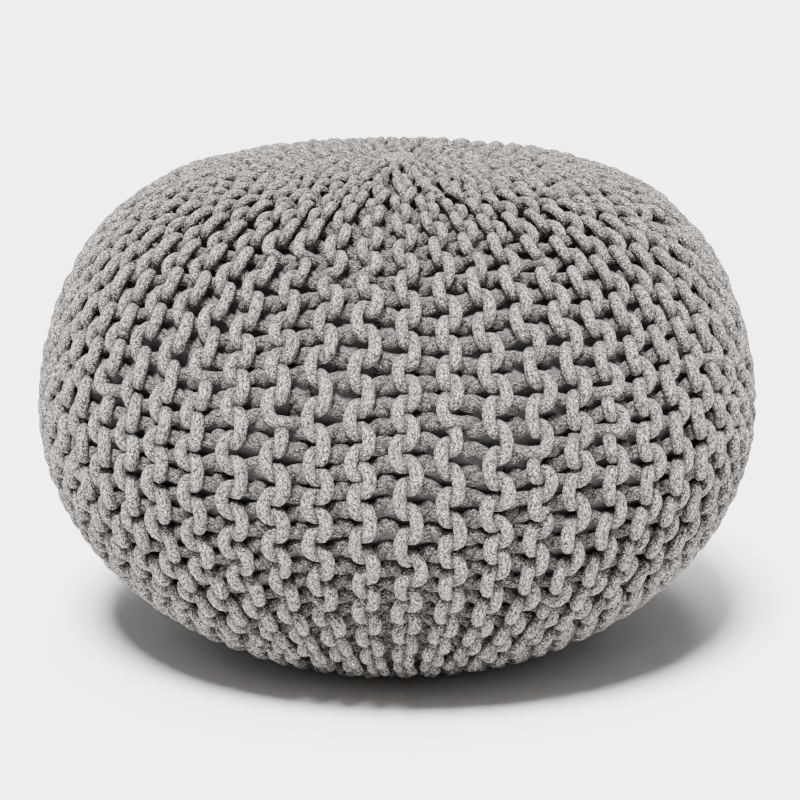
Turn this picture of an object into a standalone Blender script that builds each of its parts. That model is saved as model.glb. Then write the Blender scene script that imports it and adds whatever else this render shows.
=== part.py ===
"""Knitted pouf: a garter-stitch cover of thick cotton cord, drawn up at its poles round a filled lining bag.

The ridges of the garter stitch run from pole to pole. Some of them stop short of the poles, as short rows
do, so that two neighbours run on as one. Metres, +Z up, origin at the middle of the face that it rests on.
"""

import math

import bmesh
import bpy

# ---- Driving dimensions, in metres ----
DIAMETER = 0.500  # over the ridges, at the widest
HEIGHT = 0.345
WIDEST_HEIGHT = 0.173  # the belly's height above the floor
BELLY_DROP = 0.188  # how far the lower half would reach if no floor flattened it
YARN = 0.009  # diameter of the cotton cord

# Each half's section is |r / radius| ** across + |z / half height| ** up = 1: a flat crown, a round belly.
TOP_ACROSS, TOP_UP = 4.3, 1.74
BOTTOM_ACROSS, BOTTOM_UP = 2.12, 2.0

# ---- The knitted cover ----
RIDGES = 54  # garter ridges round the belly
FIRST_VALLEY = -math.pi / 2 + math.radians(1.5) - math.pi / RIDGES  # a crest 1.5 degrees off the front, -Y
RIDGE_HEIGHT = 0.90 * YARN  # a ridge's crest above the legs in the valley beside it
CREST_FROM, CREST_TO = 0.28, 0.72  # the crest's edges, in parts of a ridge's pitch
RISE = 0.022  # the ridges grow to their height over this length from the floor
BELLY_ROWS = 21  # rows of faces from the floor to the crown
MERGE_RADIUS = 0.126  # inside this, at the crown, two ridges run on as one
SECOND_MERGE_RADIUS = 0.070  # and inside this, two of those
STITCH = 0.027  # the length of a stitch along its ridge: ridges end up to one stitch earlier or later
CROWN_ROWS = 5
CENTRE_RADIUS = 0.036  # inside this the drawn-up ends of the rows have no ridges
CENTRE_RIDGE = 0.55  # a ridge's height where it ends there, in parts of its full height
COVER_WALL = 0.022  # from a crest to the lining: two layers of loops
FLOOR_WALL = 0.016  # the same under the filling, where the loops are pressed flat
CLOSURE_RADIUS = 0.010  # the drawn-up hole underneath, which the filling went in by
DIMPLE_DEPTH = 0.009  # the crown is drawn down where the gathering cord lies
DIMPLE_RADIUS = 0.016
DIMPLE_RIM, RIM_DEPTH = 0.024, 0.0015
FLOOR_RINGS = (0.35, 0.70)  # rings of points underneath, in parts of the flat face's radius
SWAY = 0.10  # how far a ridge wanders sideways, in parts of its pitch
SWAY_WAVES, SWAY_SLANT = 4, 17.0  # round the pouf, and radians for each metre along a ridge
SAG = 0.0010  # how far the cover's surface rises and falls
SAG_WAVES, SAG_SLANT = 6, 40.0

# ---- The gathering cord and the lining bag ----
GATHER_RADIUS = 0.0090  # of the cord's centre line, round the pole
CLEARANCE = 0.0004  # between solids that touch
LINING_SIDES = 54
LINING_ROWS = 18
SAMPLES = 400  # points from which even steps along a section are read

YARN_GREY = (0.46, 0.43, 0.41, 1.0)
LINING_GREY = (0.24, 0.22, 0.23, 1.0)


def section(inset=0.0, floor=0.0):
    """(radius, height) points from the floor's edge to the top pole, all drawn `inset` inside the crests."""
    radius = DIAMETER / 2 - inset
    rise = HEIGHT - WIDEST_HEIGHT - inset
    drop = BELLY_DROP - inset
    points = []
    for step in range(SAMPLES + 1):
        angle = math.pi / 2 * (1 - step / SAMPLES)
        height = WIDEST_HEIGHT - drop * math.sin(angle) ** (2 / BOTTOM_UP)
        if height > floor:
            points.append((radius * math.cos(angle) ** (2 / BOTTOM_ACROSS), height))
    edge = (1 - ((WIDEST_HEIGHT - floor) / drop) ** BOTTOM_UP) ** (1 / BOTTOM_ACROSS)
    points.insert(0, (radius * edge, floor))
    for step in range(1, SAMPLES + 1):
        angle = math.pi / 2 * step / SAMPLES
        across = max(math.cos(angle), 0.0) ** (2 / TOP_ACROSS)
        points.append((radius * across, WIDEST_HEIGHT + rise * math.sin(angle) ** (2 / TOP_UP)))
    return points


def lengths(points):
    """How far along the section each of its points lies."""
    along = [0.0]
    for (r0, z0), (r1, z1) in zip(points, points[1:]):
        along.append(along[-1] + math.hypot(r1 - r0, z1 - z0))
    return along


def place(points, along, at):
    """The point `at` metres along the section, and the outward normal there, both as (radius, height)."""
    i = 1
    while i < len(along) - 1 and along[i] < at:
        i += 1
    share = (at - along[i - 1]) / max(along[i] - along[i - 1], 1e-12)
    (r0, z0), (r1, z1) = points[i - 1], points[i]
    step = math.hypot(r1 - r0, z1 - z0)
    return (r0 + share * (r1 - r0), z0 + share * (z1 - z0)), ((z1 - z0) / step, (r0 - r1) / step)


def even_steps(points, start, end, rows):
    """rows + 1 places, evenly spaced from start to end along the section."""
    along = lengths(points)
    return [place(points, along, start + (end - start) * row / rows) for row in range(rows + 1)]


def distance_at_radius(points, radius):
    """How far along the section its upper half comes in to this radius."""
    for (r, z), at in zip(points, lengths(points)):
        if z > WIDEST_HEIGHT and r <= radius:
            return at
    return lengths(points)[-1]


def smooth(value):
    """0 below 0, 1 above 1, and a soft rise between them."""
    value = min(max(value, 0.0), 1.0)
    return value * value * (3 - 2 * value)


def valley_depth(valley, along, end):
    """A valley's part of its full depth. Every second one ends, about `end` metres along the section."""
    if valley % 2 == 0:
        return 1.0
    early = STITCH * (valley // 2 % 3) / 2
    return smooth((end - early - along) / STITCH + 1)


def ridge_ring(bm, spot, normal, ridges, height, along, end):
    """A ring of three points a ridge: its valley and the two edges of its crest."""
    ring = []
    swell = height / RIDGE_HEIGHT
    for ridge in range(ridges):
        for across in (0.0, CREST_FROM, CREST_TO):
            turn = 2 * math.pi * (ridge + across) / ridges
            # Both waves have an even number round the pouf, so the whole stays centred.
            wander = SWAY * 2 * math.pi / RIDGES * math.sin(SWAY_WAVES * turn + SWAY_SLANT * along) * swell
            depth = SAG * (math.sin(SAG_WAVES * turn + SAG_SLANT * along) - 1) * swell
            if across == 0.0:
                depth -= height * valley_depth(ridge, along, end)
            turn += FIRST_VALLEY + wander
            radius = spot[0] + normal[0] * depth
            place_at = (radius * math.cos(turn), radius * math.sin(turn), spot[1] + normal[1] * depth)
            ring.append(bm.verts.new(place_at))
    return ring


def plain_ring(bm, radius, height, count):
    """A round ring of evenly spaced points."""
    turns = [FIRST_VALLEY + 2 * math.pi * i / count for i in range(count)]
    return [bm.verts.new((radius * math.cos(t), radius * math.sin(t), height)) for t in turns]


def loft(bm, lower, upper):
    """Faces between two rings. One may have a whole number of times as many points as the other."""
    few, many = (lower, upper) if len(lower) <= len(upper) else (upper, lower)
    times = len(many) // len(few)
    for i in range(len(few)):
        here, there = few[i], few[(i + 1) % len(few)]
        turn = (times + 1) // 2  # the fan changes from one end of the long edge to the other here
        for k in range(times):
            first = many[(times * i + k) % len(many)]
            second = many[(times * i + k + 1) % len(many)]
            bm.faces.new((here if k < turn else there, second, first))
            if k == turn - 1:
                bm.faces.new((here, there, second))


def close(bm, ring, point):
    """A fan from a ring to one point."""
    tip = bm.verts.new(point)
    for i, vert in enumerate(ring):
        bm.faces.new((vert, ring[(i + 1) % len(ring)], tip))


def cotton(name, colour, roughness):
    material = bpy.data.materials.new(name)
    material.use_nodes = True
    shader = material.node_tree.nodes["Principled BSDF"]
    shader.inputs["Base Color"].default_value = colour
    shader.inputs["Roughness"].default_value = roughness
    shader.inputs["Metallic"].default_value = 0.0
    return material


def new_object(name, mesh, collection, material=None):
    obj = bpy.data.objects.new(name, mesh)
    collection.objects.link(obj)
    if material is not None:
        mesh.materials.append(material)
    return obj


def cover_outside():
    """The closed outer form of the cover, ridges and all, before the filling's space is cut from it."""
    points = section()
    crown_start = distance_at_radius(points, MERGE_RADIUS)
    second_merge = distance_at_radius(points, SECOND_MERGE_RADIUS)
    centre_start = distance_at_radius(points, CENTRE_RADIUS)
    bm = bmesh.new()

    # Underneath, flat on the floor.
    inner, outer = (points[0][0] * part for part in FLOOR_RINGS)
    ring = plain_ring(bm, inner, 0.0, RIDGES // 2)
    close(bm, ring, (0.0, 0.0, 0.0))
    upper = plain_ring(bm, outer, 0.0, RIDGES)
    loft(bm, ring, upper)
    ring = upper

    # The belly, with every ridge.
    for row, (spot, normal) in enumerate(even_steps(points, 0.0, crown_start, BELLY_ROWS)):
        along = crown_start * row / BELLY_ROWS
        height = RIDGE_HEIGHT * smooth(along / RISE)
        upper = ridge_ring(bm, spot, normal, RIDGES, height, along, crown_start)
        loft(bm, ring, upper)
        ring = upper

    # The crown, where every second ridge has ended, and every second of those ends in turn.
    row_length = (centre_start - crown_start) / CROWN_ROWS
    steps = even_steps(points, crown_start, centre_start, CROWN_ROWS)
    for row, (spot, normal) in list(enumerate(steps))[1:]:
        height = RIDGE_HEIGHT * (1 - (1 - CENTRE_RIDGE) * row / CROWN_ROWS)
        along = crown_start + row * row_length
        upper = ridge_ring(bm, spot, normal, RIDGES // 2, height, along, second_merge)
        loft(bm, ring, upper)
        ring = upper

    # The drawn-up centre and its dimple.
    for radius, depth in ((DIMPLE_RIM, RIM_DEPTH), (DIMPLE_RADIUS, DIMPLE_DEPTH)):
        upper = plain_ring(bm, radius, HEIGHT - depth, RIDGES // 2)
        loft(bm, ring, upper)
        ring = upper
    close(bm, ring, (0.0, 0.0, HEIGHT - DIMPLE_DEPTH))

    bmesh.ops.recalc_face_normals(bm, faces=bm.faces)
    mesh = bpy.data.meshes.new("knit_cover")
    bm.to_mesh(mesh)
    bm.free()
    mesh.shade_smooth()
    mesh.set_sharp_from_angle(angle=math.radians(60))
    return mesh


def turned(name, profile, sides, collection, material=None):
    """A solid of revolution from (radius, height) points that run from the top pole to the bottom one."""
    mesh = bpy.data.meshes.new(name)
    mesh.from_pydata(
        [(radius, 0.0, height) for radius, height in profile],
        [(i, i + 1) for i in range(len(profile) - 1)],
        [],
    )
    obj = new_object(name, mesh, collection, material)
    screw = obj.modifiers.new("turn", "SCREW")
    screw.axis = "Z"
    screw.angle = 2 * math.pi
    screw.steps = sides
    screw.render_steps = sides
    screw.use_merge_vertices = True
    screw.merge_threshold = 0.00001
    screw.use_smooth_shade = True
    return obj


def lining_profile(swell=0.0):
    """The filled bag's section from pole to pole, swollen by `swell` along its normals."""
    points = section(COVER_WALL, FLOOR_WALL)
    steps = even_steps(points, 0.0, lengths(points)[-1], LINING_ROWS)
    profile = [(0.0, FLOOR_WALL - swell), (steps[0][0][0] + swell, FLOOR_WALL - swell)]
    profile += [(r + nr * swell, z + nz * swell) for (r, z), (nr, nz) in steps[1:-1]]
    profile.append((0.0, HEIGHT - COVER_WALL + swell))
    return profile[::-1]


def difference(obj, cutter, name):
    cut = obj.modifiers.new(name, "BOOLEAN")
    cut.operation = "DIFFERENCE"
    cut.solver = "EXACT"
    cut.object = cutter


def build():
    for obj in list(bpy.data.objects):
        bpy.data.objects.remove(obj)
    pouf = bpy.data.collections.new("knitted_pouf")
    cutters = bpy.data.collections.new("cutters")
    for collection in (pouf, cutters):
        bpy.context.scene.collection.children.link(collection)
    yarn = cotton("cotton_cord", YARN_GREY, 0.95)
    lining_cloth = cotton("lining_cloth", LINING_GREY, 0.85)

    # The lining bag with its filling: one plump solid.
    turned("lining_bag", lining_profile(), LINING_SIDES, pouf, lining_cloth)

    # The knitted cover, hollow where the bag lies, and open at the closure underneath.
    cover = new_object("knit_cover", cover_outside(), pouf, yarn)
    room = turned("room_for_lining", lining_profile(CLEARANCE), LINING_SIDES, cutters)
    bpy.ops.mesh.primitive_cylinder_add(
        vertices=24, radius=CLOSURE_RADIUS, depth=3 * FLOOR_WALL, location=(0.0, 0.0, 0.0)
    )
    closure = bpy.context.active_object
    closure.name = "closure_hole"
    for owner in list(closure.users_collection):
        owner.objects.unlink(closure)
    cutters.objects.link(closure)
    for cutter, name in ((room, "room for the lining"), (closure, "closure underneath")):
        cutter.hide_render = True
        cutter.display_type = "WIRE"
        difference(cover, cutter, name)

    # The cord that draws the ends of the rows together at the crown.
    bpy.ops.mesh.primitive_torus_add(
        major_radius=GATHER_RADIUS,
        minor_radius=YARN / 2,
        major_segments=24,
        minor_segments=8,
        location=(0.0, 0.0, HEIGHT - DIMPLE_DEPTH + YARN / 2 + CLEARANCE),
    )
    gather = bpy.context.active_object
    gather.name = "gather_cord"
    gather.data.name = "gather_cord"
    gather.data.materials.append(yarn)
    gather.data.shade_smooth()
    for owner in list(gather.users_collection):
        owner.objects.unlink(gather)
    pouf.objects.link(gather)


build()
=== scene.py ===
"""Looks of the knitted pouf: each stitch of its garter-stitch cover, its lining bag, and the studio.

The cover is laid as one long cord, stitch by stitch, then settled so that its turns press on each other and
on the lining. Metres, +Z up, in the frame of the solids.
"""

import math

import bpy
import numpy as np
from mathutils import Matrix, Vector


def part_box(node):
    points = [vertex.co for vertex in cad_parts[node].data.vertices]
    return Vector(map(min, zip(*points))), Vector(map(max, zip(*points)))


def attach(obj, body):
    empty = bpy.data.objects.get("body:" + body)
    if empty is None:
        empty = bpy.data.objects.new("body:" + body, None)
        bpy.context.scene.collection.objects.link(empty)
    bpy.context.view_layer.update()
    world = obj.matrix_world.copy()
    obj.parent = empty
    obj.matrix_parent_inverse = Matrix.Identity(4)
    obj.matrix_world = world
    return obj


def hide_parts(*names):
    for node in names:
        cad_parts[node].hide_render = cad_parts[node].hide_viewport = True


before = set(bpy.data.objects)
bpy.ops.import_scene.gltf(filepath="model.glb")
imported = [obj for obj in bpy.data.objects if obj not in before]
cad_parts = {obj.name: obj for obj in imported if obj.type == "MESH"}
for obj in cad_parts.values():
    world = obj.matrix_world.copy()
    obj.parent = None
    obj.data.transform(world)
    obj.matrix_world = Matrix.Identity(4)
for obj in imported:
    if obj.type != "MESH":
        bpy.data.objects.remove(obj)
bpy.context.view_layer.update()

# ---- The pouf's section, as in the solids ----
# Each half is |r / radius| ** across + |z / half height| ** up = 1: a flat crown, a round belly.
RADIUS = 0.250
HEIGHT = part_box("knit_cover")[1].z
WIDEST_HEIGHT = 0.173
BELLY_DROP = 0.188  # how far the lower half would reach if no floor flattened it
TOP_ACROSS, TOP_UP = 4.3, 1.74
BOTTOM_ACROSS, BOTTOM_UP = 2.12, 2.0
COVER_WALL = 0.022
MID_WALL = COVER_WALL / 2
BACK_WALL = 0.0225  # the cord's middle goes no deeper than this
LINING_INSET = 0.0165  # the filling presses the lining out between the stitches
SECTION_STEPS = 900
SLOPE_STEP = 0.002  # along the section, to read its direction

# ---- The knitting ----
CORD = 0.009  # diameter
RIDGES = 54
ROWS = 2 * RIDGES  # courses, side by side round the pouf; each runs from pole to pole
FIRST_RIDGE = -math.pi / 2 + math.radians(1.5)  # just beside the front, -Y
CROWN_HOLE, FLOOR_HOLE = 0.019, 0.020  # where the rows end, from the poles
BELLY_STITCH = 0.0275  # a stitch's length along its row
CROWN_STITCH = 0.0220
FLOOR_STITCH = 0.0240
CROWN_CHANGE, FLOOR_CHANGE = 0.45, 0.16  # along the section from below, where stitches begin to shorten
CHANGE_OVER = 0.14  # and over what length they do
SHORT_ROWS = (0.122, 0.068, 0.037)  # radii at which 1/3, 2/3 and 5/6 of the rows have ended
ENDS_AT = (None, 0, 1, 2, 0, 1)  # which of them ends each of six neighbouring ridges; None runs on
TAPER = 0.9  # stitches over which a row narrows away past its end
ENDED_WIDTH = 1e-3  # what is left of a row's width there
LINE_PLACES = 10  # to a stitch, at which the lines between rows are worked out
SWING = 0.145  # how far the legs lean, in stitches
OVERLAP = 0.40  # how far a loop reaches past its own row, in rows
DEPTH_1 = 0.0065  # of the wave that carries a loop from the front to the back
DEPTH_3 = 0.0005  # and of its third harmonic
LEAN = 0.12  # of the depth wave, in radians: each loop's lower end lies over the next loop
FOLD = 0.5  # where rows are narrow the wave is deeper: 0 not at all, 1 as much as they are narrower
THIN = 0.50  # where rows are narrow the cord is squeezed: 0 not at all, 1 wholly
SINK = 0.0024  # of the back loops into the filling; the legs go half as far
POINTS = 24  # to a stitch, while it is settled
TURN_POINTS = 7  # where a row turns into the next
TURN_REACH = 0.22  # how far such a turn stands out past the row's end, in stitches

# ---- How uneven it is: standard deviations, unless said otherwise ----
UNEVEN_ALONG = 0.035  # in stitches
UNEVEN_ACROSS = 0.060  # in rows
UNEVEN_REACH = 0.13  # in parts of OVERLAP
UNEVEN_DEPTH = 0.0006
UNEVEN_MOST = 2.2  # standard deviations
SHARED = 0.75  # how far the rows beside each other go together
DRIFTS = 9  # waves over the whole cover
DRIFT_ALONG = 0.08  # in stitches, the largest of a wave
DRIFT_ACROSS = 0.06  # in rows, the largest of a wave
DRIFT_LEAST = 0.3  # of a wave, in parts of the largest
DRIFT_WAVES = (4, 20)  # round the pouf, the second one left out
DRIFT_SLANT = 1.6  # radians to a stitch
LUMP = 0.0045  # length of the cord's thicker and thinner places
LUMPY = 0.055  # of the cord's thickness
LUMPY_MOST = 2  # standard deviations

# ---- Settling ----
SETTLE_STEPS = 45
PAIRS_EVERY = 6  # steps after which the touching points are sought again
LOOP_TOUCH = 0.0067  # the cord is soft, and squashes to this where its loops touch
LEG_TOUCH = 0.0042  # the legs between the loops are pulled tight
REACH_SPARE = 0.0012  # beyond LOOP_TOUCH, where points are counted as a pair
NEIGHBOURS = 5  # points along the cord that don't count as touching
EASE = 0.5  # how far a point's move follows its neighbours' in a step
HOLD = 0.12  # how far it is drawn back along the surface to where it was laid
PUSH_MOST = 1.6  # how far several touches add up, in single touches
SKIN = 0.48  # how deep the cord's middle stays under the cover's outside, in cord thicknesses
FLOOR_SKIN = 0.49  # and above the floor

# ---- Mesh ----
SIDES = 8  # round the cord
MESH_POINTS = 56000  # along the whole cord
SPLINE_STEPS = 4  # between settled points, from which the mesh's points are chosen
BEND_SMOOTHING = 5  # spline steps
BEND_WEIGHT = 0.010  # radius of a bend at which the points lie twice as close
HIDDEN_HEIGHT, HIDDEN_OVER = 0.035, 0.02  # fewer points below this height, and how gradually
HIDDEN_SAVING = 0.45
SECTORS = 6  # meshes round the pouf
CAP_UV = 0.01  # the tubes' ends have one colour
START_SIDE = (0.31, 0.22, 0.92)  # any direction in which no cord starts
LINING_RINGS, LINING_SIDES = 72, 144
GATHER_RADIUS = 0.0090  # of the crown ring's centre line
GATHER_SINK = 0.0045  # of the centre line under the pouf's top
GATHER_POINTS = 49
WOBBLE_3, WOBBLE_5 = 0.0004, 0.0003  # of the ring's radius, in three and five waves round
WOBBLE_UP = 0.0006

# ---- Colours, and the cord's own small stitches. Noise is given in cells to a metre ----
COLUMNS = 8.0  # round the cord
COURSES = 15.0  # in each girth's length along it
STITCH_SLOPE = 0.8  # how far a small stitch's outer ends lie past its point, in courses
STITCH_ROUND = 2.0  # power of the curve over its back
GROOVE = 5.0  # power of the curve down into the groove beside it
STITCH_SHADE_TONES = (0.72, 1.06)  # painted shade in the grooves and painted light on the backs
FIBRES_ROUND = 17  # specks of dark and light yarn round the cord
FIBRES_ALONG = 13  # and in each girth's length along it
FIBRE_TONES = (  # the first two are the ends
    (0.37, (0.018, 0.015, 0.013)),
    (0.64, (0.520, 0.470, 0.434)),
    (0.51, (0.165, 0.145, 0.133)),
)
ROUGH = 0.6  # of the noises that have a rough edge
FLECKS = 1000.0  # small pale flecks
FLECK_EDGE = ((0.59, (0, 0, 0)), (0.68, (1, 1, 1)))
PALE = (0.95, 0.90, 0.85)
PATCHES = 26.0  # broad, slightly darker patches
PATCH_TONES = ((0.3, (0.86, 0.85, 0.84)), (0.7, (1.0, 1.0, 1.0)))
BLOTCHES = 300.0  # mottling
BLOTCH_TONES = (0.62, 1.34)
# Painted shade: the cord's colour darkens with its depth under the cover's outside and where turns lie
# close.
DEEP_FROM, DEEP_TO = 0.0005, 0.0100  # depths under the cover's outside between which painted shade darkens the cord
DEEP_SHADE_TONE = 0.42  # what painted shade leaves of its colour at the deeper one
PRESS_REACH = 0.0105  # a turn of the cord gets painted shade from another this near
PRESS_FROM = 0.2  # cosine of the widest angle at which a side still faces the other turn
CREASE_SHADE = 0.010  # what painted shade adds to a facing side's depth where the turns touch
FIBRE_RELIEF = 0.9  # beside the small stitches' own relief
CORD_RELIEF = 0.0010  # height of the bump
CORD_ROUGHNESS, CORD_SPECULAR = 0.95, 0.15
CORD_SHEEN, CORD_SHEEN_ROUGHNESS = 0.10, 0.6
WEAVE = 900.0  # of the lining
WEAVE_TONES = ((0.3, (0.080, 0.070, 0.072)), (0.7, (0.125, 0.111, 0.114)))
LINING_ROUGHNESS = 0.8

rng = np.random.default_rng(7)


def smooth(x):
    """An eased step, from 0 at 0 to 1 at 1."""
    x = np.clip(x, 0.0, 1.0)
    return x * x * (3 - 2 * x)


# ---------------------------------------------------------------- the section


def section(inset):
    """Distances along the section from the floor's middle to the crown, with their radii and heights."""
    radius, rise, drop = RADIUS - inset, HEIGHT - WIDEST_HEIGHT - inset, BELLY_DROP - inset
    angle = np.linspace(math.pi / 2, 0, SECTION_STEPS)
    r = radius * np.cos(angle) ** (2 / BOTTOM_ACROSS)
    z = WIDEST_HEIGHT - drop * np.sin(angle) ** (2 / BOTTOM_UP)
    above = z > inset
    edge = radius * (1 - ((WIDEST_HEIGHT - inset) / drop) ** BOTTOM_UP) ** (1 / BOTTOM_ACROSS)
    r, z = np.r_[0.0, edge, r[above]], np.r_[inset, inset, z[above]]
    angle = np.linspace(0, math.pi / 2, SECTION_STEPS)[1:]
    r = np.r_[r, radius * np.clip(np.cos(angle), 0, 1) ** (2 / TOP_ACROSS)]
    z = np.r_[z, WIDEST_HEIGHT + rise * np.sin(angle) ** (2 / TOP_UP)]
    along = np.r_[0, np.cumsum(np.hypot(np.diff(r), np.diff(z)))]
    return along, r, z


def outside(points, inset):
    """How far points lie outside the section drawn in by inset, and the way out, both nearly exact."""
    # The tiny sums keep the divisions safe.
    radius, rise, drop = RADIUS - inset, HEIGHT - WIDEST_HEIGHT - inset, BELLY_DROP - inset
    r = np.hypot(points[:, 0], points[:, 1]) + 1e-9
    h = points[:, 2] - WIDEST_HEIGHT
    upper = h > 0
    across = np.where(upper, TOP_ACROSS, BOTTOM_ACROSS)
    up = np.where(upper, TOP_UP, BOTTOM_UP)
    half = np.where(upper, rise, drop)
    x, y = r / radius, np.abs(h) / half + 1e-9
    slope_r = across * x ** (across - 1) / radius
    slope_z = up * y ** (up - 1) / half * np.sign(h)
    slope = np.hypot(slope_r, slope_z) + 1e-9
    distance = (x**across + y**up - 1) / slope
    way = np.c_[slope_r * points[:, 0] / r, slope_r * points[:, 1] / r, slope_z] / slope[:, None]
    return distance, way


MID = section(MID_WALL)


# ---------------------------------------------------------------- the knitting plan


def stitch_places():
    """Where each stitch begins along the section, from the floor's hole to the crown's."""
    along, r, z = MID
    top = z > WIDEST_HEIGHT
    start, end = FLOOR_HOLE, np.interp(-CROWN_HOLE, -r[top], along[top])
    length = BELLY_STITCH - (BELLY_STITCH - CROWN_STITCH) * smooth((along - CROWN_CHANGE) / CHANGE_OVER)
    length -= (BELLY_STITCH - FLOOR_STITCH) * smooth((FLOOR_CHANGE - along) / CHANGE_OVER)
    count = np.cumsum(np.r_[0, np.diff(along)] / length)
    first, last = np.interp([start, end], along, count)
    return np.interp(np.linspace(first, last, int(round(last - first)) + 1), count, along)


def row_ends(places):
    """The first and last stitch of each row. Short rows come in pairs, since the cord turns back."""
    along, r, z = MID
    radius, height = np.interp(places, along, r), np.interp(places, along, z)
    stitches = len(places) - 1
    low, high = np.zeros(ROWS, int), np.full(ROWS, stitches)
    for ridge in range(RIDGES):
        rank = ENDS_AT[ridge % len(ENDS_AT)]
        if rank is None:
            continue
        limit = SHORT_ROWS[rank]
        # The outermost ends come a stitch early, on time or late, so that they lie in no clear ring.
        jog = (ridge // 3 + ridge // 6) % 3 - 1 if rank == 0 else 0
        crown = np.where((height > WIDEST_HEIGHT) & (radius >= limit))[0][-1] + 1 + jog
        floor = np.where((height < WIDEST_HEIGHT) & (radius >= limit))[0][0] - jog
        high[[2 * ridge, 2 * ridge + 1]] = min(crown, stitches)
        low[[2 * ridge + 1, (2 * ridge + 2) % ROWS]] = max(floor, 0)
    return low, high


def row_angles(low, high, stitches):
    """Angles of the lines between rows, on a grid of places along them counted in stitches."""
    grid = np.linspace(-1, stitches + 1, LINE_PLACES * (stitches + 2) + 1)
    begins = smooth((grid - (low[:, None] - TAPER)) / TAPER)
    ends = smooth((high[:, None] + TAPER - grid) / TAPER)
    width = np.maximum(begins * ends, ENDED_WIDTH)
    angle = np.vstack([np.zeros(len(grid)), np.cumsum(width, 0)])
    angle *= 2 * math.pi / angle[-1]
    even = np.arange(ROWS + 1) * 2 * math.pi / ROWS
    angle -= (angle - even[:, None])[:-1].mean(0)
    return grid, angle + FIRST_RIDGE


def uneven_loops(stitches):
    """Four draws for every half stitch of every row, partly shared with the rows beside it."""
    own = rng.normal(0, 1, (4, ROWS, 2 * stitches + 4))
    shared = (own + np.roll(own, 1, 1) + np.roll(own, -1, 1)) / math.sqrt(3)
    draws = SHARED * shared + math.sqrt(1 - SHARED**2) * rng.normal(0, 1, own.shape)
    return draws.clip(-UNEVEN_MOST, UNEVEN_MOST)


def drift(along, across, most):
    """Smooth unevenness of the whole cover: a few waves at all slants."""
    total = np.zeros(along.shape)
    for _ in range(DRIFTS):
        around = 2 * math.pi / ROWS * rng.integers(*DRIFT_WAVES)
        total += most * rng.uniform(DRIFT_LEAST, 1) * np.sin(
            around * across + rng.uniform(-DRIFT_SLANT, DRIFT_SLANT) * along + rng.uniform(0, 2 * math.pi)
        )
    return total


def crowding(places, low, high):
    """How many times narrower than at the belly the rows are, at each stitch."""
    middles = (places[1:] + places[:-1]) / 2
    radius = np.interp(middles, MID[0], MID[1])
    stitch = np.arange(len(middles))[:, None]
    count = ((low <= stitch) & (stitch < high)).sum(1)
    return radius.max() / radius * count / ROWS


def lay_cord(places, low, high):
    """The cord's whole way: along the rows in stitches, across them in rows, and its depth in metres.

    With it come the cord's thickness, what it is squashed to where it touches, and the row, at each point.
    """
    along, across, depth, girth = [], [], [], []
    t = (np.arange(POINTS) + 0.5) / POINTS * 2 * math.pi
    loops = uneven_loops(high.max())
    crowd = crowding(places, low, high)
    for row in range(ROWS):
        stitches = np.arange(low[row], high[row])
        turn = (stitches[:, None] * 2 * math.pi + t).ravel()
        # Each draw is eased into the next.
        place = turn / math.pi + 1
        before = place.astype(int)
        blend = smooth(place - before)
        shift, sway, reach, swell = loops[:, row, before] * (1 - blend) + loops[:, row, before + 1] * blend
        front = 1 if row % 2 == 0 else -1
        u = turn / (2 * math.pi) + SWING * np.sin(2 * turn) + UNEVEN_ALONG * shift
        tight = np.interp(u - 0.5, np.arange(len(crowd)), crowd)
        over = OVERLAP * (1 + UNEVEN_REACH * reach)
        v = 0.5 - (0.5 + over) * np.cos(turn) + UNEVEN_ACROSS * sway
        lean = turn + LEAN
        deeper = DEPTH_1 * (np.maximum(tight, 1) ** FOLD - 1)
        wave = (DEPTH_1 + deeper) * np.cos(lean) + DEPTH_3 * np.cos(3 * lean)
        d = front * wave + UNEVEN_DEPTH * swell - deeper - SINK * (1 - front * np.cos(turn)) / 2
        if front < 0:
            u, v, d = u[::-1], v[::-1], d[::-1]
        along.append(u)
        across.append(row + v)
        depth.append(d)
        thin, loop = tight[::front] ** -THIN, np.cos(turn) ** 2
        girth.append((thin, loop))
        if row < ROWS - 1:
            step = (np.arange(TURN_POINTS) + 0.5) / TURN_POINTS
            end = high[row] if front > 0 else low[row]
            next_v = row + 1 - OVERLAP
            next_d = -front * (DEPTH_1 + DEPTH_3)
            along.append(end + front * TURN_REACH * np.sin(math.pi * step))
            across.append(across[-1][-1] + (next_v - across[-1][-1]) * step)
            depth.append(d[-1] + (next_d - d[-1]) * step)
            girth.append((np.full(TURN_POINTS, thin[-1]), np.ones(TURN_POINTS)))
    lengths = [len(stretch) for stretch in along]
    rows = np.repeat(np.arange(len(lengths)) // 2, lengths)
    along, across, depth = (np.concatenate(stretches) for stretches in (along, across, depth))
    thin, loop = np.concatenate(girth, 1)
    shift, sway = drift(along, across, DRIFT_ALONG), drift(along, across, DRIFT_ACROSS)
    thick = CORD * thin
    soft = (LEG_TOUCH + (LOOP_TOUCH - LEG_TOUCH) * loop) * thin
    return along + shift, across + sway, depth, thick, soft, rows


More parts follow.
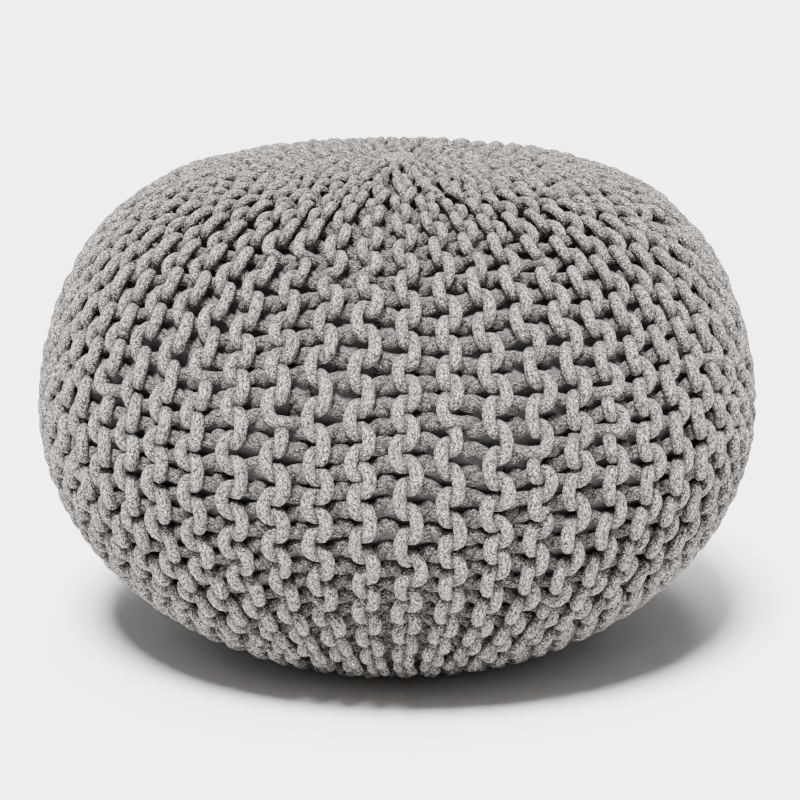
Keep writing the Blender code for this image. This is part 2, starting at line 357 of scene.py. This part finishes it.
def on_the_pouf(u, v, depth, places, grid, angle):
    """Points in space of places counted in stitches and rows."""
    along, r, z = MID
    stitches = len(places) - 1
    knots = np.r_[-1, np.arange(stitches + 1), stitches + 1]
    first, last = places[1] - places[0], places[-1] - places[-2]
    at = np.interp(u, knots, np.r_[places[0] - first, places, places[-1] + last])
    dr = np.interp(at + SLOPE_STEP, along, r) - np.interp(at - SLOPE_STEP, along, r)
    dz = np.interp(at + SLOPE_STEP, along, z) - np.interp(at - SLOPE_STEP, along, z)
    size = np.hypot(dr, dz)
    radius = np.interp(at, along, r) + dz / size * depth
    height = np.interp(at, along, z) - dr / size * depth
    # Just short of the last column, so that there is always one on the right.
    column = np.clip((u - grid[0]) / (grid[1] - grid[0]), 0, len(grid) - 1.001)
    left = column.astype(int)
    part = column - left
    turns = np.floor(v / ROWS)
    line = v - turns * ROWS
    below = np.clip(line.astype(int), 0, ROWS - 1)
    rest = line - below

    def angle_of(lines):
        return angle[lines, left] * (1 - part) + angle[lines, left + 1] * part

    phi = angle_of(below) * (1 - rest) + angle_of(below + 1) * rest + turns * 2 * math.pi
    return np.c_[radius * np.cos(phi), radius * np.sin(phi), height]


# ---------------------------------------------------------------- settling


def near_pairs(points, reach):
    """Pairs of points nearer than reach, found in a grid of cells, without neighbours along the cord."""
    cell = np.floor(points / reach).astype(np.int64)
    cell -= cell.min(0) - 1
    size = cell.max(0) + 2
    key = (cell[:, 0] * size[1] + cell[:, 1]) * size[2] + cell[:, 2]
    order = np.argsort(key, kind="stable")
    key = key[order]
    firsts, seconds = [], []
    # Each cell is searched against itself and the half of its neighbours that come after it.
    for dx, dy, dz in np.ndindex(3, 3, 3):
        shift = ((dx - 1) * size[1] + dy - 1) * size[2] + dz - 1
        if shift < 0:
            continue
        low = np.searchsorted(key, key + shift, "left")
        number = np.searchsorted(key, key + shift, "right") - low
        i = np.repeat(np.arange(len(points)), number)
        j = np.arange(len(i)) + np.repeat(low - np.r_[0, np.cumsum(number)[:-1]], number)
        i, j = order[i], order[j]
        keep = np.abs(i - j) > NEIGHBOURS
        if shift == 0:
            keep &= i < j
        i, j = i[keep], j[keep]
        gap = points[i] - points[j]
        keep = np.einsum("ij,ij->i", gap, gap) < reach * reach
        firsts.append(i[keep])
        seconds.append(j[keep])
    return np.concatenate(firsts), np.concatenate(seconds)


def settle(home, soft):
    """Presses the cord's turns apart where they overlap, keeping their shape."""
    points = home.copy()
    count = len(points)
    for step in range(SETTLE_STEPS):
        if step % PAIRS_EVERY == 0:
            i, j = near_pairs(points, LOOP_TOUCH + REACH_SPARE)
            touch = (soft[i] + soft[j]) / 2
        moved = points - home
        points[1:-1] += EASE * ((moved[:-2] + moved[2:]) / 2 - moved[1:-1])
        back = home - points
        _, way = outside(points, MID_WALL)
        points += HOLD * (back - np.einsum("ij,ij->i", back, way)[:, None] * way)
        gap = points[i] - points[j]
        distance = np.sqrt(np.einsum("ij,ij->i", gap, gap)) + 1e-12
        overlap = touch - distance
        use = overlap > 0
        a, b = i[use], j[use]
        push = gap[use] * (0.5 * overlap[use] / distance[use])[:, None]
        weight = np.bincount(a, minlength=count) + np.bincount(b, minlength=count)
        total = np.stack(
            [np.bincount(a, push[:, k], count) - np.bincount(b, push[:, k], count) for k in range(3)], 1
        )
        points += total / np.maximum(weight, 1)[:, None] * np.minimum(weight, PUSH_MOST)[:, None]
        # The filling holds the cord out, the cover's tension holds it in, and the floor carries it.
        distance, way = outside(points, BACK_WALL)
        points += way * np.maximum(-distance, 0)[:, None]
        distance, way = outside(points, 0.0)
        points -= way * (0.5 * np.maximum(distance + SKIN * CORD, 0))[:, None]
        points[:, 2] = np.maximum(points[:, 2], FLOOR_SKIN * CORD)
    return points


def refined(points, thick, rows, number):
    """The cord through points, read again at number places that lie closer together where it bends."""
    t = np.arange(SPLINE_STEPS) / SPLINE_STEPS
    p = np.vstack([2 * points[0] - points[1], points, 2 * points[-1] - points[-2]])
    p0, p1, p2, p3 = p[:-3, None], p[1:-2, None], p[2:-1, None], p[3:, None]
    t = t[None, :, None]
    square, cube = 2 * p0 - 5 * p1 + 4 * p2 - p3, 3 * p1 - p0 - 3 * p2 + p3
    curve = 0.5 * (2 * p1 + (p2 - p0) * t + square * t**2 + cube * t**3)
    curve = np.vstack([curve.reshape(-1, 3), points[-1:]])
    step = np.linalg.norm(np.diff(curve, axis=0), axis=1)
    way = np.diff(curve, axis=0) / step[:, None]
    bend = np.r_[0, np.linalg.norm(np.diff(way, axis=0), axis=1), 0]
    bend = (bend[:-1] + bend[1:]) / 2 / step
    bend = np.convolve(bend, np.ones(BEND_SMOOTHING) / BEND_SMOOTHING, "same")
    hidden = smooth((HIDDEN_HEIGHT - curve[:-1, 2]) / HIDDEN_OVER)
    density = step * (1 + BEND_WEIGHT * bend) * (1 - HIDDEN_SAVING * hidden)
    total = np.r_[0, np.cumsum(density)]
    places = np.interp(np.linspace(0, total[-1], number), total, np.arange(len(total)))
    low = np.minimum(places.astype(int), len(curve) - 2)
    part = (places - low)[:, None]
    row = rows[np.minimum((places / SPLINE_STEPS).astype(int), len(rows) - 1)]
    thick = np.interp(places / SPLINE_STEPS, np.arange(len(thick)), thick)
    return curve[low] * (1 - part) + curve[low + 1] * part, thick, row


# ---------------------------------------------------------------- meshes


def frames(points):
    """Two directions square to the cord at each point, carried along it without twist."""
    way = np.gradient(points, axis=0)
    way /= np.linalg.norm(way, axis=1)[:, None]
    side = np.empty_like(points)
    now = np.cross(way[0], START_SIDE)
    for k, along in enumerate(way):
        now = now - along * (now @ along)
        now /= math.sqrt(now @ now)
        side[k] = now
    return side, np.cross(way, side)


def crease_shading(points, side, other):
    """How closely each corner of the tube round the points faces another turn of the cord, from 0 to 1: how
    much painted shade its crease gets.
    """
    i, j = near_pairs(points, PRESS_REACH)
    i, j = np.r_[i, j], np.r_[j, i]
    order = np.argsort(i, kind="stable")
    i, j = i[order], j[order]
    gap = points[j] - points[i]
    distance = np.linalg.norm(gap, axis=1)
    across = np.einsum("ij,ij->i", gap, side[i]) / distance
    up = np.einsum("ij,ij->i", gap, other[i]) / distance
    turn = np.arange(SIDES) * 2 * math.pi / SIDES
    facing = across[:, None] * np.cos(turn) + up[:, None] * np.sin(turn)
    near = smooth((PRESS_REACH - distance) / (PRESS_REACH - LOOP_TOUCH))
    shade = near[:, None] * smooth((facing - PRESS_FROM) / (1 - PRESS_FROM))
    with_pairs, starts = np.unique(i, return_index=True)
    value = np.zeros((len(points), SIDES))
    value[with_pairs] = np.maximum.reduceat(shade, starts)
    return value


def tube_mesh(name, points, side, other, radius, length, press):
    """A closed tube with a UV map: once round in U, and its length in girths in V.

    Its point attribute is each corner's depth under the cover's outside, more where another turn presses;
    the cord's material paints shade by it.
    """
    count = len(points)
    turn = np.arange(SIDES) * 2 * math.pi / SIDES
    ring = np.cos(turn)[None, :, None] * side[:, None] + np.sin(turn)[None, :, None] * other[:, None]
    verts = (points[:, None] + radius[:, None, None] * ring).reshape(-1, 3)
    i = np.arange(count - 1)[:, None] * SIDES
    k = np.arange(SIDES)[None, :]
    after = (k + 1) % SIDES
    quads = np.stack([i + k, i + after, i + SIDES + after, i + SIDES + k], -1).reshape(-1, 4)
    caps = np.stack([np.arange(SIDES)[::-1], (count - 1) * SIDES + np.arange(SIDES)])
    mesh = bpy.data.meshes.new(name)
    mesh.vertices.add(len(verts))
    mesh.vertices.foreach_set("co", verts.astype(np.float32).ravel())
    loops = np.r_[quads.ravel(), caps.ravel()].astype(np.int32)
    mesh.loops.add(len(loops))
    mesh.loops.foreach_set("vertex_index", loops)
    starts = np.r_[np.arange(len(quads)) * 4, quads.size + np.arange(2) * SIDES].astype(np.int32)
    sizes = np.r_[np.full(len(quads), 4), np.full(2, SIDES)].astype(np.int32)
    mesh.polygons.add(len(starts))
    mesh.polygons.foreach_set("loop_start", starts)
    mesh.polygons.foreach_set("loop_total", sizes)
    v = length / (math.pi * CORD)
    u0, u1 = k / SIDES + 0 * i, (k + 1) / SIDES + 0 * i
    v0, v1 = v[:-1, None] + 0 * k, v[1:, None] + 0 * k
    uv = np.stack([u0, v0, u1, v0, u1, v1, u0, v1], -1).reshape(-1, 2)
    uv = np.vstack([uv, np.full((2 * SIDES, 2), CAP_UV)])
    layer = mesh.uv_layers.new(name="UVMap")
    layer.data.foreach_set("uv", uv.astype(np.float32).ravel())
    mesh.update()
    mesh.validate()
    mesh.shade_smooth()
    # depth for the painted shade, more where another turn lies close
    shade_depth = mesh.attributes.new("shade_depth", "FLOAT", "POINT")
    depth = CREASE_SHADE * press.ravel() - outside(verts, 0.0)[0]
    shade_depth.data.foreach_set("value", depth.astype(np.float32))
    return mesh


def new_object(name, mesh, material):
    obj = bpy.data.objects.new(name, mesh)
    bpy.context.scene.collection.objects.link(obj)
    mesh.materials.append(material)
    return obj


def knit_cover(material):
    """The whole knitted cover, cut into meshes between rows."""
    places = stitch_places()
    low, high = row_ends(places)
    grid, angle = row_angles(low, high, len(places) - 1)
    u, v, depth, thick, soft, rows = lay_cord(places, low, high)
    home = on_the_pouf(u, v, depth, places, grid, angle)
    points, thick, rows = refined(settle(home, soft), thick, rows, MESH_POINTS)
    side, other = frames(points)
    length = np.r_[0, np.cumsum(np.linalg.norm(np.diff(points, axis=0), axis=1))]
    print(f"knit: {(high - low).sum()} stitches, {length[-1]:.1f} m of cord")
    marks = np.arange(0, length[-1] + LUMP, LUMP)
    swell = np.interp(length, marks, rng.normal(0, 1, len(marks)).clip(-LUMPY_MOST, LUMPY_MOST))
    radius = thick / 2 * (1 + LUMPY * swell)
    # how much painted shade each side gets in the crease towards a close turn
    press = crease_shading(points, side, other)
    pieces = []
    for sector in range(SECTORS):
        chosen = np.where(rows * SECTORS // ROWS == sector)[0]
        stretch = slice(chosen[0], min(chosen[-1] + 2, len(points)))
        mesh = tube_mesh(
            f"knit_{sector + 1}",
            points[stretch],
            side[stretch],
            other[stretch],
            radius[stretch],
            length[stretch] - length[stretch.start],
            press[stretch],
        )
        pieces.append(new_object(mesh.name, mesh, material))
    return pieces


def lining_bag(material):
    """The filled bag, smooth all round."""
    along, r, z = section(LINING_INSET)
    at = np.linspace(0, along[-1], LINING_RINGS + 1)
    radius, height = np.interp(at, along, r), np.interp(at, along, z)
    angle = np.arange(LINING_SIDES) * 2 * math.pi / LINING_SIDES
    verts = [(0.0, 0.0, float(height[0]))]
    for k in range(1, LINING_RINGS):
        verts += [(radius[k] * math.cos(a), radius[k] * math.sin(a), height[k]) for a in angle]
    verts.append((0.0, 0.0, float(height[-1])))
    faces = []
    for k in range(LINING_SIDES):
        after = (k + 1) % LINING_SIDES
        faces.append((0, 1 + after, 1 + k))
        for ring in range(LINING_RINGS - 2):
            lower = 1 + ring * LINING_SIDES
            upper = lower + LINING_SIDES
            faces.append((lower + k, lower + after, upper + after, upper + k))
        last = 1 + (LINING_RINGS - 2) * LINING_SIDES
        faces.append((last + k, last + after, len(verts) - 1))
    mesh = bpy.data.meshes.new("lining")
    mesh.from_pydata(verts, [], faces)
    mesh.shade_smooth()
    return new_object("lining", mesh, material)


def gather_knot(material):
    """The cord's ring at the crown, slightly uneven."""
    turn = np.linspace(0, 2 * math.pi, GATHER_POINTS)
    centre = np.array([0.0, 0.0, HEIGHT - GATHER_SINK])
    wobble = WOBBLE_3 * np.sin(3 * turn) + WOBBLE_5 * np.sin(5 * turn + 1)
    radius = GATHER_RADIUS + wobble
    points = centre + np.c_[radius * np.cos(turn), radius * np.sin(turn), WOBBLE_UP * np.sin(2 * turn)]
    side, other = frames(points)
    length = np.r_[0, np.cumsum(np.linalg.norm(np.diff(points, axis=0), axis=1))]
    half = np.full(len(points), CORD / 2)
    press = np.zeros((len(points), SIDES))
    mesh = tube_mesh("crown_ring", points, side, other, half, length, press)
    return new_object("crown_ring", mesh, material)


# ---------------------------------------------------------------- materials


class Nodes:
    """Makes the nodes of one material and links them as it goes."""

    def __init__(self, name):
        self.material = bpy.data.materials.new(name)
        self.material.use_nodes = True
        self.tree = self.material.node_tree
        self.shader = self.tree.nodes["Principled BSDF"]

    def set(self, socket, value):
        if isinstance(value, bpy.types.NodeSocket):
            self.tree.links.new(value, socket)
        else:
            socket.default_value = value

    def add(self, kind, inputs=None, **settings):
        node = self.tree.nodes.new(kind)
        for key, value in settings.items():
            setattr(node, key, value)
        for key, value in (inputs or {}).items():
            self.set(node.inputs[key], value)
        return node

    def math(self, operation, *values):
        return self.add("ShaderNodeMath", dict(enumerate(values)), operation=operation).outputs[0]

    def noise(self, vector, scale, detail=2.0, roughness=0.5, each=(1.0, 1.0, 1.0)):
        """Noise of so many cells to a unit, times each in the three directions."""
        mapping = self.add("ShaderNodeMapping", {"Vector": vector, "Scale": each}).outputs[0]
        inputs = {"Vector": mapping, "Scale": scale, "Detail": detail, "Roughness": roughness}
        return self.add("ShaderNodeTexNoise", inputs).outputs[0]

    def ramp(self, value, stops):
        """Colours by value. The first two stops are the outermost, in order."""
        node = self.add("ShaderNodeValToRGB", {0: value})
        elements = node.color_ramp.elements
        for k, (position, colour) in enumerate(stops):
            if k < 2:
                elements[k].position = position
            element = elements[k] if k < 2 else elements.new(position)
            element.color = (*colour, 1)
        return node.outputs[0]

    def tint(self, blend, amount, a, b):
        """One colour over another."""
        inputs = {0: amount, 6: a, 7: b}
        return self.add("ShaderNodeMix", inputs, data_type="RGBA", blend_type=blend).outputs[2]

    def fit(self, value, low, high, start=0.0, end=1.0):
        """A value from start to end, brought to lie from low to high."""
        inputs = {"Value": value, "From Min": start, "From Max": end, "To Min": low, "To Max": high}
        return self.add("ShaderNodeMapRange", inputs).outputs[0]


def cord_material():
    """A tube knitted from a mottled grey yarn: columns of small V-shaped stitches, light and dark flecks,
    with painted shade in the grooves, deep in the cover and where turns lie close.
    """
    n = Nodes("cotton_cord")
    uv = n.add("ShaderNodeUVMap", uv_map="UVMap").outputs[0]
    split = n.add("ShaderNodeSeparateXYZ", {0: uv})
    u, v = split.outputs[0], split.outputs[1]
    column = n.math("FRACT", n.math("MULTIPLY", u, COLUMNS))
    slant = n.math("ABSOLUTE", n.math("MULTIPLY_ADD", column, 2.0, -1.0))
    lean = n.math("MULTIPLY_ADD", slant, STITCH_SLOPE, n.math("MULTIPLY", v, COURSES))
    phase = n.math("ABSOLUTE", n.math("MULTIPLY_ADD", n.math("FRACT", lean), 2.0, -1.0))
    bulge = n.math("SUBTRACT", 1.0, n.math("POWER", phase, STITCH_ROUND))
    braid = n.math("MULTIPLY", bulge, n.math("SUBTRACT", 1.0, n.math("POWER", slant, GROOVE)))

    slanted = n.add("ShaderNodeCombineXYZ", {0: u, 1: n.math("DIVIDE", lean, COURSES)}).outputs[0]
    place = n.add("ShaderNodeTexCoord").outputs["Object"]
    fibres = n.noise(slanted, 1.0, roughness=ROUGH, each=(FIBRES_ROUND, FIBRES_ALONG, 1.0))
    fleck = n.noise(place, FLECKS, detail=1.0)
    patch = n.noise(place, PATCHES, roughness=ROUGH)
    blotch = n.noise(place, BLOTCHES, roughness=ROUGH)
    tone = n.ramp(fibres, FIBRE_TONES)
    tone = n.tint("MIX", n.ramp(fleck, FLECK_EDGE), tone, (*PALE, 1))
    tone = n.tint("MULTIPLY", 1.0, tone, n.ramp(patch, PATCH_TONES))
    tone = n.tint("MULTIPLY", 1.0, tone, n.fit(blotch, *BLOTCH_TONES))
    # painted shade in the grooves of the small stitches and painted light on their backs
    tone = n.tint("MULTIPLY", 1.0, tone, n.fit(braid, *STITCH_SHADE_TONES))
    # painted shade: darker deep in the cover and in the creases between close turns
    shade_depth = n.add("ShaderNodeAttribute", attribute_name="shade_depth").outputs["Fac"]
    tone = n.tint("MULTIPLY", 1.0, tone, n.fit(shade_depth, 1.0, DEEP_SHADE_TONE, DEEP_FROM, DEEP_TO))
    n.set(n.shader.inputs["Base Color"], tone)
    n.shader.inputs["Roughness"].default_value = CORD_ROUGHNESS
    n.shader.inputs["Specular IOR Level"].default_value = CORD_SPECULAR
    n.shader.inputs["Sheen Weight"].default_value = CORD_SHEEN
    n.shader.inputs["Sheen Roughness"].default_value = CORD_SHEEN_ROUGHNESS

    height = n.math("MULTIPLY_ADD", fibres, FIBRE_RELIEF, braid)
    bump = n.add("ShaderNodeBump", {"Strength": 1.0, "Distance": CORD_RELIEF, "Height": height}).outputs[0]
    n.set(n.shader.inputs["Normal"], bump)
    return n.material


def lining_material():
    """Plain woven cloth."""
    n = Nodes("lining_cloth")
    place = n.add("ShaderNodeTexCoord").outputs["Object"]
    n.set(n.shader.inputs["Base Color"], n.ramp(n.noise(place, WEAVE), WEAVE_TONES))
    n.shader.inputs["Roughness"].default_value = LINING_ROUGHNESS
    return n.material


# ---------------------------------------------------------------- the studio

CAMERA = Vector((0.0, -1.940, 0.642))
AIM = Vector((0.002, 0.0, 0.171))
LENS, SENSOR = 128.1, 36.0  # millimetres
WORLD_LIGHT = 0.26
SUN_DISTANCE = 3.0
FLOOR_HALF = 60.0  # so wide that its edge lies at the horizon in low views
FLOOR_UNDER = 0.0005  # the pouf, so that the two don't share a plane
FLOOR_TONE, FLOOR_ROUGHNESS = 0.97, 0.9
SUNS = (  # name, degrees round from the front, degrees up, softness in degrees, strength
    ("key", -12.0, 60.0, 16.0, 15.0),
    ("top", 0.0, 86.0, 30.0, 3.0),
)


def point_at(obj, target):
    obj.rotation_euler = (Vector(target) - obj.location).to_track_quat("-Z", "Y").to_euler()


def studio():
    """Camera, floor, world and lights."""
    camera = bpy.data.objects.new("camera", bpy.data.cameras.new("camera"))
    camera.data.lens = LENS
    camera.data.sensor_width = SENSOR
    camera.location = CAMERA
    point_at(camera, AIM)
    bpy.context.scene.collection.objects.link(camera)
    bpy.context.scene.camera = camera

    floor_mesh = bpy.data.meshes.new("floor")
    corners = [(x * FLOOR_HALF, y * FLOOR_HALF, 0) for x, y in ((-1, -1), (1, -1), (1, 1), (-1, 1))]
    floor_mesh.from_pydata(corners, [], [(0, 1, 2, 3)])
    paint = bpy.data.materials.new("floor")
    paint.use_nodes = True
    shader = paint.node_tree.nodes["Principled BSDF"]
    shader.inputs["Base Color"].default_value = (FLOOR_TONE, FLOOR_TONE, FLOOR_TONE, 1)
    shader.inputs["Roughness"].default_value = FLOOR_ROUGHNESS
    floor = new_object("floor", floor_mesh, paint)
    floor.location.z = -FLOOR_UNDER

    world = bpy.data.worlds.new("studio")
    bpy.context.scene.world = world
    world.use_nodes = True
    background = world.node_tree.nodes["Background"]
    background.inputs[0].default_value = (1, 1, 1, 1)
    background.inputs[1].default_value = WORLD_LIGHT

    for name, around, up, softness, strength in SUNS:
        sun = bpy.data.objects.new(name, bpy.data.lights.new(name, "SUN"))
        sun.data.energy = strength
        sun.data.angle = math.radians(softness)
        turn, rise = math.radians(around), math.radians(up)
        sun.location = (
            SUN_DISTANCE * math.sin(turn) * math.cos(rise),
            -SUN_DISTANCE * math.cos(turn) * math.cos(rise),
            SUN_DISTANCE * math.sin(rise),
        )
        point_at(sun, (0, 0, 0))
        bpy.context.scene.collection.objects.link(sun)


def main():
    studio()
    cord = cord_material()
    cloth = lining_material()
    for piece in knit_cover(cord):
        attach(piece, "root")
        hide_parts("knit_cover")
    bag = lining_bag(cloth)
    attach(bag, "root")
    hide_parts("lining_bag")
    ring = gather_knot(cord)
    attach(ring, "root")
    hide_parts("gather_cord")


main()
